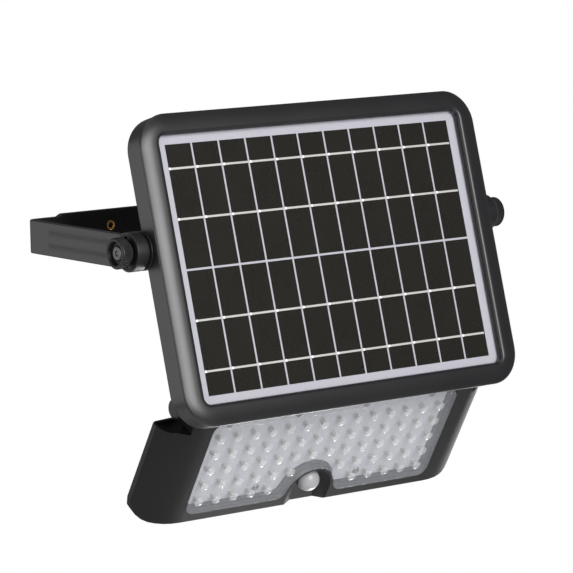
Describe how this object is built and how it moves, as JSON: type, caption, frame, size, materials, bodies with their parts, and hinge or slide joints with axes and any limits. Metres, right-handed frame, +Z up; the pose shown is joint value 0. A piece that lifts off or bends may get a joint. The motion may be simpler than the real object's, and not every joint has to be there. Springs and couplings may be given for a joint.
{
  "type": "solar flood light",
  "caption": "Wall-mounted solar flood light: a yoke bracket carries a tilting solar panel head, and a hinged LED lamp with a motion sensor hangs below it.",
  "frame": {"origin": "middle of the wall face of the bracket's base plate", "axes": "+Z up; +Y out of the base plate's back face, into the wall; the panel and the lamp face -Y; +X to the right of a viewer who looks at the front"},
  "size_m": [0.3044, 0.1626, 0.2595],
  "materials": {
    "charcoal": "satin moulded",
    "arm_grey": "satin paint",
    "black": "moulded",
    "rubber": "matt",
    "steel": "bright",
    "brass": "satin",
    "glass": "polished",
    "cells": "laminated cells",
    "lens": "moulded clear window",
    "board": "white solder mask",
    "green_board": "solder mask",
    "dome": "frosted",
    "cell_wrap": "shrink wrap",
    "foam": "foam"
  },
  "bodies": {
    "bracket_body": {"bracket": "arm_grey", "base_bush_left": "brass", "base_bush_right": "brass"},
    "panel_body": {"panel_bezel": "charcoal", "panel_glass": "glass", "cell_sheet": "cells", "panel_seal": "rubber", "junction_box": "black", "rear_housing": "charcoal", "hub_insert_left": "brass", "hub_insert_right": "brass", "friction_disc_left": "black", "friction_disc_right": "black", "hinge_cap_left": "black", "hinge_cap_right": "black", "charge_board": "green_board", "charge_coil": "black", "panel_screw_1": "steel", "panel_screw_2": "steel", "panel_screw_3": "steel", "panel_screw_4": "steel"},
    "lamp_body": {"front_housing": "black", "rear_cover": "black", "lamp_lens": "lens", "led_board": "board", "sensor_dome": "dome", "sensor_can": "steel", "sensor_board": "green_board", "battery_cell_1": "cell_wrap", "battery_cell_2": "cell_wrap", "battery_pad": "foam", "driver_board": "green_board", "button_switch": "black", "cover_screw_1": "steel", "cover_screw_2": "steel", "cover_screw_3": "steel", "cover_screw_4": "steel", "hinge_pin_left": "steel", "hinge_pin_right": "steel"},
    "knob_left_body": {"knob_left": "black", "knob_bolt_left": "steel", "knob_washer_left": "rubber"},
    "knob_right_body": {"knob_right": "black", "knob_bolt_right": "steel", "knob_washer_right": "rubber"},
    "button_body": {"mode_button": "rubber"}
  },
  "joints": [
    {"name": "panel_tilt", "type": "hinge", "parent": "bracket_body", "child": "panel_body", "pos_m": [0, -0.1145, 0], "axis": [-1, 0, 0], "range_deg": [-20, 60]},
    {"name": "lamp_swing", "type": "hinge", "parent": "panel_body", "child": "lamp_body", "pos_m": [0, -0.12939, -0.09751], "axis": [1, 0, 0], "range_deg": [-8, 80]},
    {"name": "knob_left_turn", "type": "hinge", "parent": "bracket_body", "child": "knob_left_body", "pos_m": [-0.1522, -0.1145, 0], "axis": [-1, 0, 0], "range_deg": [0, 270]},
    {"name": "knob_right_turn", "type": "hinge", "parent": "bracket_body", "child": "knob_right_body", "pos_m": [0.1522, -0.1145, 0], "axis": [1, 0, 0], "range_deg": [0, 270]},
    {"name": "button_press", "type": "slide", "parent": "lamp_body", "child": "button_body", "axis": [0, -0.8563, -0.5165], "range_m": [0, 0.0012], "stiffness_N_per_m": 300}
  ]
}
